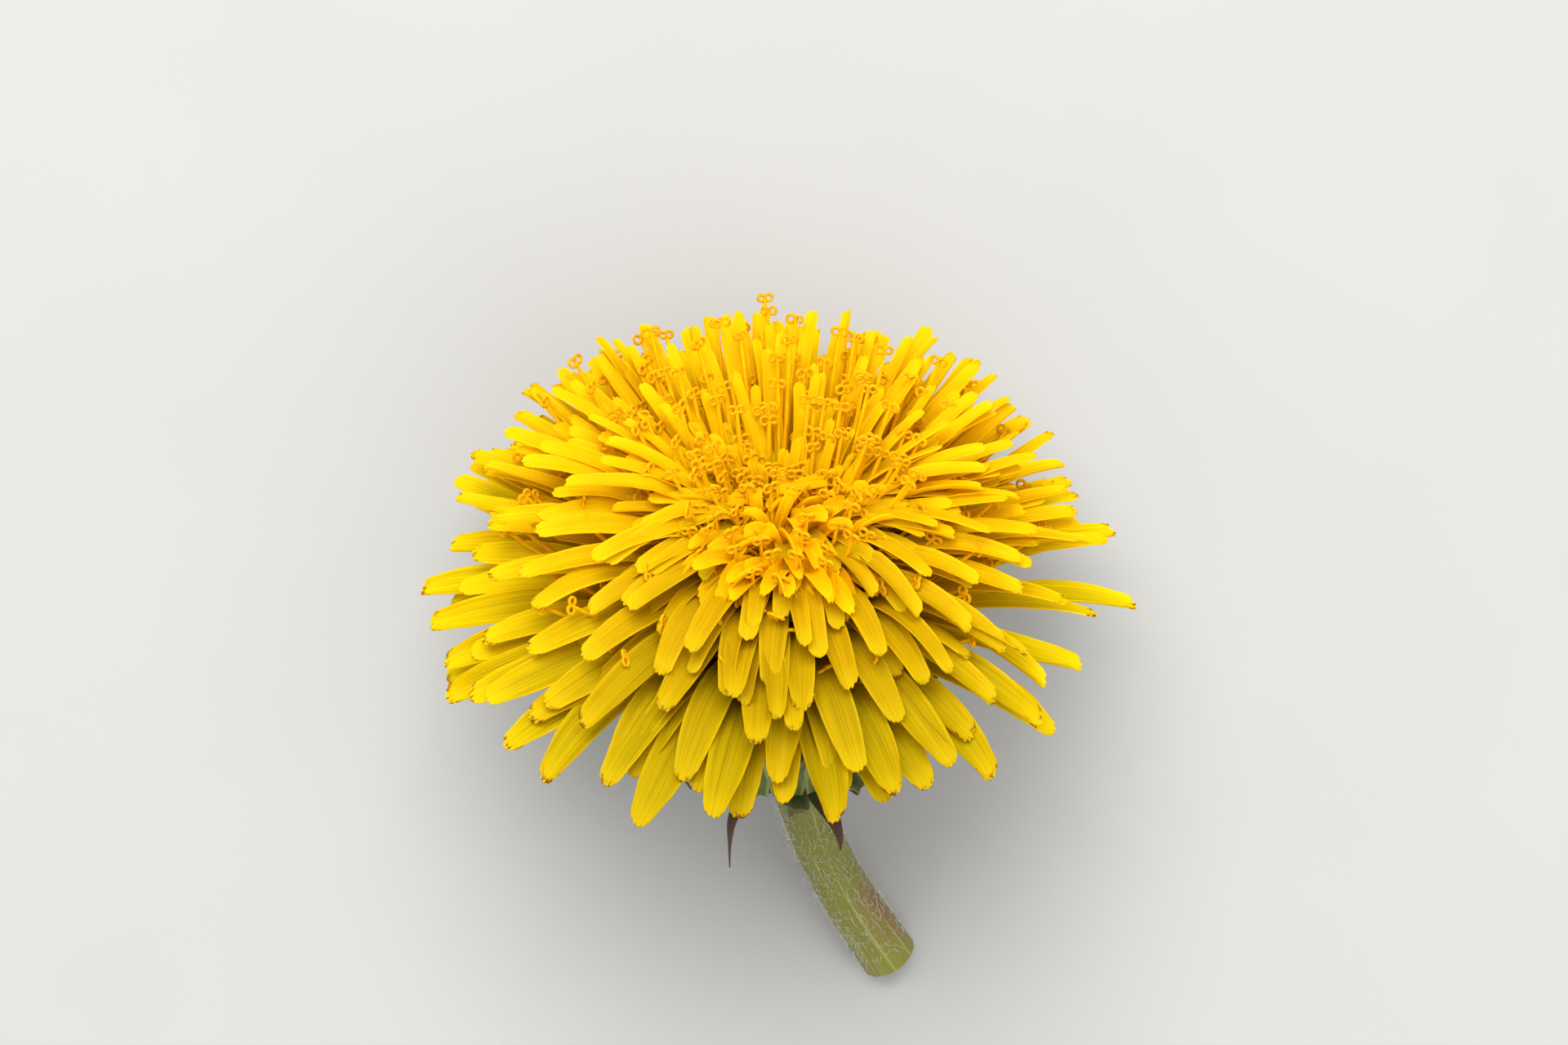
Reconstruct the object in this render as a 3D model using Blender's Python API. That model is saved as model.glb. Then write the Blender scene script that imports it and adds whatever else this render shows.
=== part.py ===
"""A picked dandelion lying down: one open head on a short, cut, hollow stem.

The head is modelled upright round its own axis, with the viewer's side at -Y, and then the whole
flower is leant back. It lies on the ligules behind the head and on the cut end of the stem.
"""

import math
import random

import bmesh
import bpy
from mathutils import Matrix, Vector

MM = 0.001

# How the flower lies: its axis rises this much above the floor, and this is the head's middle
AXIS_RISE = math.radians(35)
HEAD_PLACE = Vector((0.25, 2.94, 16.6)) * MM

# The florets, in a golden-angle spiral from the centre of the head (rank 0) to its rim (rank 1)
FLORETS = 172
GOLDEN_ANGLE = math.radians(137.508)
SEED = 7

# Floret paths, as radius from the axis and height above the rim's plane. Of each pair, the first
# value is for the back of the head and the second for the front, which spreads and droops more.
FLORET_BASE = Vector((3.0, -11.0)) * MM
TUBE_RISE = Vector((0.5, 8.8)) * MM
MOUTH = Vector((3.2, -5.0)) * MM
MOUTH_CROWN = 3.0 * MM
YOUNG_REACH = 8.0 * MM
YOUNG_RANK = 0.35
REACH = (19.7 * MM, 16.4 * MM)
SPREAD = (math.radians(80), math.radians(82.5))
TIP_TURN = math.radians(12)
FRONT_TIP_ANGLE = math.radians(104)
LEFT_GAIN = 0.03

# Florets at the back open evenly, and reach their full length between these two ranks
BACK_OPENING_POWER = 1.5
BACK_GROWTH = (0.1, 0.65)

# Florets in front lengthen towards the rim and open in tiers: pairs of rank and share of the spread
FRONT_GROWTH_POWER = 1.45
FRONT_TIERS = ((0.0, 0.0), (0.35, 0.32), (0.6, 0.52), (0.82, 0.76), (0.9, 0.92), (1.0, 1.0))

# The least and the most that chance makes of a floret's reach
VIGOUR = (0.92, 1.03)

# The florets in front stand up and then bend over, those at the rim less so. Of each pair, the
# first value is for a floret that doesn't bend over and the second for one that does in full.
BEND_FADE = 0.4
BEND_AT_RIM = 0.6
BEND_LIFT = (0.0, 5.0 * MM)
BEND_TIP_TURN = (0.0, math.radians(14))
ARCH_SHARE = (0.45, 0.7)

# Ligule blades: each station is a place along the path and a share of the full width. Chance
# drifts and twists them, and those on the left are rolled to face the front.
LIGULE_WIDTH = 2.8 * MM
LIGULE_THICKNESS = 0.6 * MM
INNER_WIDTH_SHARE = 0.5
LIGULE_STATIONS = ((0.22, 0.34), (0.56, 0.68), (0.80, 1.0), (1.0, 0.62))
TIP_DRIFT = 0.03
MOST_TWIST = math.radians(14)
LEFT_ROLL = math.radians(26)

# Only ligules of this rank or more touch the floor, and the others stay above it in proportion
FLOOR_RANK = 0.93
FLOOR_STEP = 14 * MM

# The bundle of floret tubes and closed young florets that the blades rise from, as radius and
# height
CORE_PROFILE = (
    (0.0, -11.1),
    (3.2, -11.1),
    (3.5, -9.4),
    (4.0, -7.6),
    (4.8, -5.6),
    (5.2, -3.0),
    (4.9, 0.0),
    (3.8, 2.7),
    (2.7, 4.6),
    (0.0, 5.0),
)
CORE_SIDES = 27

# Involucre: a cup with inner bracts under the ligules, and outer bracts that bend back down
GAP = 0.4 * MM
CUP_WALL = 0.7 * MM
RECEPTACLE_RADIUS = 3.2 * MM
RECEPTACLE_UNDERSIDE = -12.4 * MM
CUP_END = 0.30
CUP_POINTS = 6
INNER_BRACTS = 14
INNER_BRACT_WIDTH = 2.9 * MM
INNER_BRACT_STATIONS = ((0.12, 0.85), (0.26, 1.0), (0.40, 0.8), (0.53, 0.3))
BRACT_START = 0.2
BRACT_TURN = 0.3
OUTER_BRACTS = 13
OUTER_BRACT_WIDTH = 2.1 * MM
OUTER_BRACT_PATH = ((2.4, -11.95), (5.0, -11.7), (7.2, -11.0), (6.2, -13.2))
OUTER_BRACT_STATIONS = ((0.0, 0.9), (0.3, 1.0), (0.65, 0.8), (1.0, 0.3))
BRACT_THICKNESS = 0.65 * MM

# Scape: its middle line as sideways place and height, with the radius there
SCAPE_ROUTE = (
    (0.9, -12.0, 1.85),
    (1.5, -15.2, 1.58),
    (2.6, -18.9, 1.5),
    (4.25, -22.6, 1.58),
    (6.6, -26.9, 1.7),
)
SCAPE_TOP = RECEPTACLE_UNDERSIDE - 0.3 * MM
SCAPE_POINTS_PER_SPAN = 3
SCAPE_ROUNDNESS = 3
BORE_SHARE = 0.58
BORE_START = 1
BORE_OVERRUN = 1.0 * MM

# The pose of the whole flower, the floor's upward direction in its frame, and half the stretch of
# a path from which its direction is read
FLOWER_POSE = Matrix.Translation(HEAD_PLACE) @ Matrix.Rotation(AXIS_RISE - math.pi / 2, 4, "X")
WORLD_UP = FLOWER_POSE.to_3x3().inverted() @ Vector((0, 0, 1))
STEP = 0.01


def clear_scene():
    for obj in list(bpy.data.objects):
        bpy.data.objects.remove(obj, do_unlink=True)


def material(name, colour, roughness):
    made = bpy.data.materials.new(name)
    made.use_nodes = True
    shader = made.node_tree.nodes["Principled BSDF"]
    shader.inputs["Base Color"].default_value = (*colour, 1)
    shader.inputs["Roughness"].default_value = roughness
    shader.inputs["Metallic"].default_value = 0
    made.diffuse_color = (*colour, 1)
    return made


def collection(name):
    made = bpy.data.collections.new(name)
    bpy.context.scene.collection.children.link(made)
    return made


def object_from(bm, name):
    bmesh.ops.recalc_face_normals(bm, faces=bm.faces)
    mesh = bpy.data.meshes.new(name)
    bm.to_mesh(mesh)
    bm.free()
    return bpy.data.objects.new(name, mesh)


def bezier(points, t):
    """The point at t on a flat cubic curve with these four control points."""
    weights = ((1 - t) ** 3, 3 * t * (1 - t) ** 2, 3 * t * t * (1 - t), t**3)
    return sum((point * weight for point, weight in zip(points, weights)), Vector((0, 0)))


def smooth(value):
    value = min(1, max(0, value))
    return value * value * (3 - 2 * value)


def mix(pair, share):
    return pair[0] + (pair[1] - pair[0]) * share


def between(pairs, place):
    """The value at this place on the straight lines through pairs of place and value."""
    for (start, low), (end, high) in zip(pairs, pairs[1:]):
        if place <= end:
            return mix((low, high), (place - start) / (end - start))
    return pairs[-1][1]


def along(angle):
    """A unit step at this angle from the axis, as radius and height."""
    return Vector((math.sin(angle), math.cos(angle)))


def floret_path(rank, azimuth, vigour=1.0):
    """A floret's path: a function from 0 to 1 that gives radius and height. Azimuth 0 is in front."""
    facing = smooth((1 + math.cos(azimuth)) / 2)
    grown = smooth(rank / YOUNG_RANK)
    bend = facing * grown * mix((BEND_AT_RIM, 1), smooth((1 - rank) / BEND_FADE))
    opened = mix((rank**BACK_OPENING_POWER, between(FRONT_TIERS, rank)), facing)
    spread = mix(SPREAD, facing) * opened
    back_growth = smooth((rank - BACK_GROWTH[0]) / (BACK_GROWTH[1] - BACK_GROWTH[0]))
    growth = mix((back_growth, grown * rank**FRONT_GROWTH_POWER), facing**3)
    reach = YOUNG_REACH + (mix(REACH, facing) - YOUNG_REACH) * growth
    reach *= (1 - LEFT_GAIN * math.sin(azimuth) * rank) * vigour
    mouth = Vector((MOUTH.x * rank, MOUTH.y + MOUTH_CROWN * (1 - rank)))
    tip = mouth + along(spread) * reach
    tip_angle = mix((spread + TIP_TURN, FRONT_TIP_ANGLE), facing) * grown + mix(BEND_TIP_TURN, bend)
    base = Vector((FLORET_BASE.x * rank, FLORET_BASE.y))
    rise = base + Vector((TUBE_RISE.x * rank, TUBE_RISE.y + mix(BEND_LIFT, bend)))
    lead = tip - along(tip_angle) * mix(ARCH_SHARE, bend) * reach
    return lambda t: bezier((base, rise, lead, tip), t)


def beside(path, distance):
    """A path that runs this far outside another."""

    def place(t):
        ahead = (path(t + STEP) - path(t - STEP)).normalized()
        return path(t) + Vector((ahead.y, -ahead.x)) * distance

    return place


def above_floor(point, lowest):
    """The point, raised straight up to this height above the floor if it lies lower."""
    short = lowest - (FLOWER_POSE @ point).z
    return point + WORLD_UP * short if short > 0 else point


def blade(name, path, azimuth, stations, width, thickness, drift=0.0, twist=0.0, lowest=0.0):
    """A closed strap along a path. Its two faces are split into the same triangles."""
    outward = Vector((math.sin(azimuth), -math.cos(azimuth), 0))
    side = Vector((math.cos(azimuth), math.sin(azimuth), 0))

    def place(t):
        radius, height = path(t)
        return outward * radius + side * drift * radius * t * t + Vector((0, 0, height))

    bm = bmesh.new()
    rings = []
    for t, share in stations:
        ahead = (place(t + STEP) - place(t - STEP)).normalized()
        across = Matrix.Rotation(twist * t, 3, ahead) @ side
        half = across * width * share / 2
        lift = ahead.cross(across).normalized() * thickness / 2
        upper = [above_floor(place(t) + lift + e, lowest + thickness) for e in (-half, half)]
        lower = [above_floor(place(t) - lift + e, lowest) for e in (half, -half)]
        rings.append([bm.verts.new(corner) for corner in upper + lower])
    for low, high in zip(rings, rings[1:]):
        for k in range(4):
            a, b = low[k], low[(k + 1) % 4]
            c, d = high[k], high[(k + 1) % 4]
            split = ((a, b, c), (b, d, c)) if k == 2 else ((a, b, d), (a, d, c))
            for corners in split:
                bm.faces.new(corners)
    bm.faces.new(reversed(rings[0]))
    bm.faces.new(rings[-1])
    return object_from(bm, name)


def turned(name, profile):
    """A closed solid of revolution through points of radius and height that end on the axis."""
    bm = bmesh.new()
    corners = [bm.verts.new((radius, 0, height)) for radius, height in profile]
    for low, high in zip(corners, corners[1:]):
        bm.edges.new((low, high))
    bmesh.ops.spin(
        bm,
        geom=bm.verts[:] + bm.edges[:],
        cent=(0, 0, 0),
        axis=(0, 0, 1),
        angle=math.tau,
        steps=CORE_SIDES,
    )
    bmesh.ops.remove_doubles(bm, verts=bm.verts, dist=1e-6)
    return object_from(bm, name)


def bodies_of(bm):
    """The bodies of a mesh, each as a list of its faces."""
    left = set(bm.faces)
    while left:
        body, waiting = [], [left.pop()]
        while waiting:
            face = waiting.pop()
            body.append(face)
            near = {f for edge in face.edges for f in edge.link_faces} & left
            left -= near
            waiting.extend(near)
        yield body


def volume(faces):
    total = 0.0
    for face in faces:
        first, *others = [vert.co for vert in face.verts]
        for second, third in zip(others, others[1:]):
            total += first.dot(second.cross(third)) / 6
    return total


def keep_largest_body(mesh):
    """Drops loose scraps and the walls of sealed hollows."""
    bm = bmesh.new()
    bm.from_mesh(mesh)
    *rest, _ = sorted(bodies_of(bm), key=volume)
    bmesh.ops.delete(bm, geom=[face for body in rest for face in body], context="FACES")
    bm.to_mesh(mesh)
    bm.free()


def fuse(base, repeats):
    """Joins the repeats to the base in one body and takes them out of the scene."""
    group = collection(base.name + "_repeats")
    for piece in repeats:
        group.objects.link(piece)
    join = base.modifiers.new("Join", "BOOLEAN")
    join.operation = "UNION"
    join.operand_type = "COLLECTION"
    join.collection = group
    join.solver = "EXACT"
    evaluated = base.evaluated_get(bpy.context.evaluated_depsgraph_get())
    fused = bpy.data.meshes.new_from_object(evaluated)
    base.modifiers.clear()
    base.data = fused
    keep_largest_body(fused)
    for piece in repeats:
        bpy.data.objects.remove(piece, do_unlink=True)
    bpy.data.collections.remove(group)


def add_ray_florets(flower):
    core = turned("ray_florets", [(r * MM, h * MM) for r, h in CORE_PROFILE])
    flower.objects.link(core)
    chance = random.Random(SEED)
    blades = []
    for i in range(FLORETS):
        rank = math.sqrt((i + 0.5) / FLORETS)
        azimuth = i * GOLDEN_ANGLE
        roll = LEFT_ROLL * max(0, -math.sin(azimuth)) * rank
        blades.append(
            blade(
                f"ligule_{i}",
                floret_path(rank, azimuth, chance.uniform(*VIGOUR)),
                azimuth,
                LIGULE_STATIONS,
                LIGULE_WIDTH * (INNER_WIDTH_SHARE + (1 - INNER_WIDTH_SHARE) * rank),
                LIGULE_THICKNESS,
                drift=chance.uniform(-TIP_DRIFT, TIP_DRIFT),
                twist=chance.uniform(-MOST_TWIST, MOST_TWIST) - roll,
                lowest=max(0, FLOOR_RANK - rank) * FLOOR_STEP,
            )
        )
    fuse(core, blades)
    return core


def add_involucre(flower):
    """The receptacle, the cup of inner bracts and the outer bracts that bend back down."""
    rim = floret_path(1, math.pi)
    clear = LIGULE_THICKNESS / 2 + GAP
    steps = [CUP_END * k / (CUP_POINTS - 1) for k in range(CUP_POINTS)]
    inside = [beside(rim, clear)(t) for t in steps]
    outside = [beside(rim, clear + CUP_WALL)(t) for t in steps]
    floor = CORE_PROFILE[0][1] * MM - GAP
    inside[0].y = floor
    underside = [(0, RECEPTACLE_UNDERSIDE), (RECEPTACLE_RADIUS, RECEPTACLE_UNDERSIDE)]
    cup = turned("involucre", [*underside, *outside, *reversed(inside), (0, floor)])
    flower.objects.link(cup)
    bracts = []
    for k in range(INNER_BRACTS):
        bracts.append(
            blade(
                f"inner_bract_{k}",
                beside(rim, clear + CUP_WALL),
                math.tau * (k + BRACT_START) / INNER_BRACTS,
                INNER_BRACT_STATIONS,
                INNER_BRACT_WIDTH,
                BRACT_THICKNESS,
                twist=BRACT_TURN,
            )
        )
    bent = [Vector(point) * MM for point in OUTER_BRACT_PATH]
    for k in range(OUTER_BRACTS):
        bracts.append(
            blade(
                f"outer_bract_{k}",
                lambda t: bezier(bent, t),
                math.tau * (k + BRACT_START) / OUTER_BRACTS,
                OUTER_BRACT_STATIONS,
                OUTER_BRACT_WIDTH,
                BRACT_THICKNESS,
                twist=-BRACT_TURN,
            )
        )
    fuse(cup, bracts)
    return cup


def smooth_line(points, steps):
    """Points on a Catmull-Rom curve through these points, with this many to a span."""
    padded = [points[0] * 2 - points[1], *points, points[-1] * 2 - points[-2]]
    line = []
    for a, b, c, d in zip(padded, padded[1:], padded[2:], padded[3:]):
        for k in range(steps):
            t = k / steps
            line.append(
                b
                + (c - a) * (t / 2)
                + (a * 2 - b * 5 + c * 4 - d) * (t * t / 2)
                + (b * 3 - a - c * 3 + d) * (t**3 / 2)
            )
    return [*line, points[-1]]


def tube(name, line, share, group):
    """A round bar along a line of (sideways, height, radius) points, as a mesh."""
    curve = bpy.data.curves.new(name, "CURVE")
    curve.dimensions = "3D"
    curve.bevel_depth = MM
    curve.bevel_resolution = SCAPE_ROUNDNESS
    curve.use_fill_caps = True
    spline = curve.splines.new("POLY")
    spline.points.add(len(line) - 1)
    for point, (sideways, height, radius) in zip(spline.points, line):
        point.co = (sideways, 0, height, 1)
        point.radius = radius / MM * share
    guide = bpy.data.objects.new(name + "_guide", curve)
    group.objects.link(guide)
    evaluated = guide.evaluated_get(bpy.context.evaluated_depsgraph_get())
    mesh = bpy.data.meshes.new_from_object(evaluated)
    bpy.data.objects.remove(guide, do_unlink=True)
    bm = bmesh.new()
    bm.from_mesh(mesh)
    bmesh.ops.remove_doubles(bm, verts=bm.verts, dist=1e-6)
    bar = object_from(bm, name)
    group.objects.link(bar)
    return bar


def add_scape(flower, cutters):
    line = smooth_line([Vector(point) * MM for point in SCAPE_ROUTE], SCAPE_POINTS_PER_SPAN)
    scape = tube("scape", line, 1, flower)
    for vert in scape.data.vertices:
        vert.co.z = min(vert.co.z, SCAPE_TOP)
        vert.co = above_floor(vert.co, 0)
    beyond = line[-1] + (line[-1] - line[-2]).normalized() * BORE_OVERRUN
    beyond.z = line[-1].z
    bore = tube("scape_bore", [*line[BORE_START:], beyond], BORE_SHARE, cutters)
    cut = scape.modifiers.new("Bore", "BOOLEAN")
    cut.operation = "DIFFERENCE"
    cut.object = bore
    bore.hide_render = True
    bore.display_type = "WIRE"
    return scape, bore


def main():
    clear_scene()
    flower = collection("dandelion")
    cutters = collection("cutters")
    pose = bpy.data.objects.new("pose", None)
    pose.matrix_world = FLOWER_POSE
    flower.objects.link(pose)
    florets = add_ray_florets(flower)
    involucre = add_involucre(flower)
    scape, bore = add_scape(flower, cutters)
    looks = (
        (florets, material("ligule yellow", (0.82, 0.50, 0.01), 0.55)),
        (involucre, material("bract green", (0.06, 0.11, 0.02), 0.6)),
        (scape, material("scape green", (0.13, 0.15, 0.03), 0.55)),
    )
    for obj, look in looks:
        obj.data.materials.clear()
        obj.data.materials.append(look)
        obj.data.set_sharp_from_angle(angle=math.radians(35))
    for obj in (florets, involucre, scape, bore):
        obj.parent = pose


main()
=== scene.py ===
"""The looks of a picked dandelion: fine ligules, styles, bracts, stem and hairs on its solids.

Shapes are worked out in the head's own frame, in millimetres: X to the right, -Y to the viewer's
side, Z along the axis of the head. They follow the same paths as the solids that they replace.
"""

import math
import random

import bpy
import numpy as np
from mathutils import Matrix, Vector


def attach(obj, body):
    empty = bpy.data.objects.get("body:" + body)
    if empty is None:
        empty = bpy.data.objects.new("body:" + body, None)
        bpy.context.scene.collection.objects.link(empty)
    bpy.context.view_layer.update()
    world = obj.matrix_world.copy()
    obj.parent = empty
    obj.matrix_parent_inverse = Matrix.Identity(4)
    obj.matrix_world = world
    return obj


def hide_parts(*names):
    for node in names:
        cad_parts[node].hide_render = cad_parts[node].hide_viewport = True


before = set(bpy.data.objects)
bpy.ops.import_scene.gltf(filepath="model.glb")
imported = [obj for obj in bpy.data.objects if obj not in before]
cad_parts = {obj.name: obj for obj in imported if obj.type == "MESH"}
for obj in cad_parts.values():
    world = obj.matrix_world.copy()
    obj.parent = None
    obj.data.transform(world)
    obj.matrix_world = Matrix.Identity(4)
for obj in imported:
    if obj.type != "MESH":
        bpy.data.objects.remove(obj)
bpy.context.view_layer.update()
MM = 0.001
SHARP_ANGLE = math.radians(50)

# How the flower lies: its axis rises this much above the floor, and this is the head's middle
AXIS_RISE = math.radians(35)
HEAD_PLACE = np.array((0.25, 2.94, 16.6))

# The florets, in a golden-angle spiral from the centre of the head (rank 0) to its rim (rank 1)
FLORETS = 172
GOLDEN_ANGLE = math.radians(137.508)
SEED = 7

# Places on a floret's path, as radius from the axis and height above the rim's plane: its base, the
# rise of its tube from there, and its mouth, which is this much higher at the centre
FLORET_BASE = np.array((3.0, -11.0))
TUBE_RISE = (0.5, 8.8)
MOUTH = (3.2, -5.0)
MOUTH_CROWN = 3.0

# How far ligules reach from the mouth and spread from the axis, at the back of the head and in
# front, where they droop more. The youngest florets, up to this rank, reach less.
YOUNG_REACH = 8.0
YOUNG_RANK = 0.35
REACH = (19.7, 16.4)
SPREAD = (math.radians(80), math.radians(82.5))
TIP_TURN = math.radians(12)
FRONT_TIP_ANGLE = math.radians(104)
LEFT_GAIN = 0.03

# Florets at the back open evenly, and reach their full length between these two ranks
BACK_OPENING_POWER = 1.5
BACK_GROWTH = (0.1, 0.65)

# Florets in front lengthen towards the rim and open in tiers: pairs of rank and share of the spread
FRONT_GROWTH_POWER = 1.45
FRONT_TIERS = ((0, 0), (0.35, 0.32), (0.6, 0.52), (0.82, 0.76), (0.9, 0.92), (1, 1))

# The least and the most that chance makes of a floret's reach
VIGOUR = (0.92, 1.03)

# The florets in front stand up and then bend over, those at the rim less so. Each pair is for a
# floret that doesn't bend over and for one that does in full.
BEND_FADE = 0.4
BEND_AT_RIM = 0.6
BEND_LIFT = (0.0, 5.0)
BEND_TIP_TURN = (0.0, math.radians(14))
ARCH_SHARE = (0.45, 0.7)

# Chance drifts and twists the ligules, and those on the left are rolled to face the front
TIP_DRIFT = 0.03
MOST_TWIST = math.radians(14)
LEFT_ROLL = math.radians(26)

# Only ligules of this rank or more touch the floor, and the others stay above it in proportion
FLOOR_RANK = 0.93
FLOOR_STEP = 14.0

# Narrow florets between the others: how many, from which rank to which, the least and the most of
# their vigour, and how wide and how far off their path they are next to the others
EXTRA_FLORETS = 540
EXTRA_SEED = 21
EXTRA_RANKS = (0.17, 0.84)
EXTRA_VIGOUR = (0.58, 1.02)
EXTRA_WIDTH = 0.8
EXTRA_STRAY = 2

# Chance is raised to these powers at the centre and at the rim, so that short ones are commoner at
# the centre. Two of three go to the back if the cosine of their azimuth is above this.
EXTRA_POWERS = (1.2, 0.3)
EXTRA_FRONT = 0.1

# Florets that close the rim, and those that lie over both sides: how many, between which azimuths
# in degrees, their vigour and their ranks. Each lies between these shares of its own step.
SIDE_FLORETS = (
    (16, (-140, -45), (0.92, 1.03), (0.86, 0.99)),
    (9, (-42, 46), (0.86, 0.96), (0.86, 0.99)),
    (22, (-118, -46), (0.8, 1.02), (0.4, 0.7)),
    (12, (50, 116), (0.8, 1.0), (0.4, 0.66)),
)
SIDE_STEP = (0.2, 0.8)

# The ranks at which full ligules begin, at the back and in front
FIRST_RANK = (0.2, 0.38)

# Ligules are grooved straps with a toothed tip. Each station is a place along a ligule with its
# share of the width. The width, and the share of it at the tip and in the tip's corners, are given
# at the centre and at the rim.
LIGULE_WIDTH = (1.1, 2.65)
WIDTH_POWER = 3.0
BACK_WIDTH = 0.74
LIGULE_START = 0.26
WIDTH_STATIONS = ((0, 0.34), (0.25, 0.62), (0.5, 0.9), (0.68, 1), (0.78, 0.99), (0.9, 0.86))
TIP_WIDTH = (0.8, 0.54)
CORNER = (0.42, 0.24)
CORNER_POWER = 2.4
LIGULE_THICKNESS = 0.13
EDGE_THINNING = 0.6
RIB_DEPTH = 0.016

# Where along a ligule its ribs and its raised edges come in, and where its tip's outline does
RIB_ONSET = (0, 0.4)
RISE_ONSET = (0, 0.5)
TIP_ONSET = (0.8, 1)

# How deep a ligule's notches are, and the least and the most that chance makes of that
TOOTH = 0.1
NOTCHES = (0.4, 1.8)

# What else chance does to a ligule, with the least and the most of each: its edges rise by a share
# of its width, and its tip curls up or down and sways aside. It waves by this angle along it.
EDGE_RISE = (0.0, 0.32)
TIP_CURL = (-1.3, 0.52)
TIP_SWAY = 0.5
CURL_START = 0.6
WAVE = 0.16
WAVE_ANGLE = 9

# Rows along a ligule and columns across it, for narrow ligules and for the broad ones beyond this
# rank
BROAD_RANK = 0.72
LIGULE_ROWS = (
    (0, 0.12, 0.25, 0.38, 0.5, 0.62, 0.73, 0.82, 0.9, 0.96, 1),
    (0, 0.08, 0.17, 0.27, 0.37, 0.47, 0.56, 0.65, 0.73, 0.8, 0.86, 0.91, 0.95, 0.98, 1),
)
LIGULE_COLUMNS = (7, 11)

# How much painted shade darkens a front ligule, at the centre and at the rim
SHADE = (0.3, 1)

# Floret tubes: their radius at the centre and at the rim, and shares of it along them
TUBE_RADIUS = (0.22, 0.48)
TUBE_SHAPE = np.array((0.7, 0.8, 0.9, 1.0, 0.9))
TUBE_START = 0.02
TUBE_OVERLAP = 0.06

# The youngest florets, still closing over the middle of the head. Each rises from its base to a
# knee and hooks over there. The height of the knee is for the very middle and for the edge of the
# patch, and of the other pairs, the first value is the least and the second the most.
YOUNG_FLORETS = 96
YOUNG_SEED = 5
YOUNG_SPREAD = 4.4
YOUNG_FORWARD = 3.4
YOUNG_BASE = 0.35
YOUNG_BASE_HEIGHT = -2.0
YOUNG_HEIGHT = (7.6, 6.8)
YOUNG_UNEVENNESS = (-0.9, 0.7)
YOUNG_REACH_OUT = (1.5, 3.3)
YOUNG_DROOP = (-2.0, 0.2)
YOUNG_HEADING = 1.3
YOUNG_TURNED_IN = 0.3
YOUNG_TWIST = 0.7
YOUNG_WIDTH = (0.75, 1.2)
YOUNG_STATIONS = ((0, 0.4), (0.5, 0.8), (0.85, 1), (1, 0.88))
YOUNG_NOTCHES = (0.007, 0.021)
YOUNG_CORNER = 0.075
YOUNG_CORNER_POWER = 2.6
YOUNG_RIB_DEPTH = 0.025
YOUNG_ROWS = 14
YOUNG_COLUMNS = 9
YOUNG_SHADE_RANK = 0.3

# The path of a young floret has a shoulder this far from its base to its knee. Shoulder and knee
# are raised this much.
YOUNG_SHOULDER = 0.6
YOUNG_LIFTS = (1.5, 0.9)

# How far the edges of a young ligule rise at its base and at its tip, as a share of its width, and
# where along it they change over and the outline of its tip comes in
YOUNG_ROLL = (0.6, 0.34)
YOUNG_ROLL_CHANGE = (0, 0.9)
YOUNG_TIP_ONSET = (0.75, 1)

# The styles among the youngest florets: how far their spiral is turned, how far they spread at the
# very middle and at the edge, and how far they stand above the florets
YOUNG_STYLES = 34
YOUNG_STYLE_TURN = 1
YOUNG_STYLE_FOOT = 0.4
YOUNG_STYLE_SPREAD = (0.3, 1.2)
YOUNG_STYLE_RISE = (0.2, 1.3)
YOUNG_STYLE_HANDLES = (3.0, 2.5)

# The share of ligules that have a style, where along the ligule it starts and heads for, and its
# radius
STYLES_OUT = 0.64
STYLE_START = 0.42
STYLE_AIM = 0.85
STYLE_RADIUS = 0.115

# A style's length as a share of what is left of its ligule, and how much it leans to the head's
# axis, each at the centre and at the rim. Those at the back of the rim are longer by this much, and
# chance adds the rest.
STYLE_LENGTH = (0.88, 0.55)
STYLE_BACK_GAIN = 0.42
STYLE_CHANCE = (-0.2, 0.085)
STYLE_LEAN = (0.12, 0.3)
STYLE_LIFT = 0.06
STYLE_SWAY = 0.1
STYLE_UPTURN = 0.25
STYLE_HANDLES = (0.35, 0.3)
STYLE_CLEARANCE = 0.6
STYLE_POINTS = 8
ROD_SIDES = 6

# The anther tube round a style: its radius, its shape along it, and where it ends along the style
ANTHER_RADIUS = 0.2
ANTHER_SHAPE = np.array((0.75, 1, 1, 0.95, 0.6))
ANTHER_START = 0.02
ANTHER_END = (0.45, 0.68)
ANTHER_SIDES = 8
ANTHER_GAP = 0.15

# The two branches of a style, each curled into a ring that tightens and rises as it goes round.
# Seen from this direction, give or take this angle, the rings of a pair lie side by side.
CURL_VIEW = (0, 0.57, -0.82)
CURL_ASIDE = 0.6
CURL_RADIUS = 0.25
CURL_CHANCE = (0.85, 1.15)
CURL_TURN = math.radians(400)
CURL_TURN_CHANCE = (0.8, 1)
CURL_TIGHTENING = 0.25
CURL_RISE = 0.018
CURL_POINTS = 14
CURL_THICKNESS = 0.1
CURL_SHAPE = ((0, 1), (0.15, 1.05), (0.9, 0.95), (1, 0.6))
CURL_CLEARANCE = 0.15

# The receptacle is a cup round the floret tubes, clear of them by this gap. It has this share of
# the thickness of the solids' wall.
GAP = 0.4
SOLID_LIGULE = 0.6
CUP_WALL = 0.7
CUP_SHARE = 0.6
CUP_END = 0.30
CUP_FLOOR = -11.5
CUP_STEPS = 8
CUP_SIDES = 48
UNDERSIDE_RADIUS = 2.56
RECEPTACLE_UNDERSIDE = -12.4

# The stretch of its UV map that the cup takes up, clear of the pale margins of its look
CUP_MAP = (0.25, 0.75)

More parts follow.
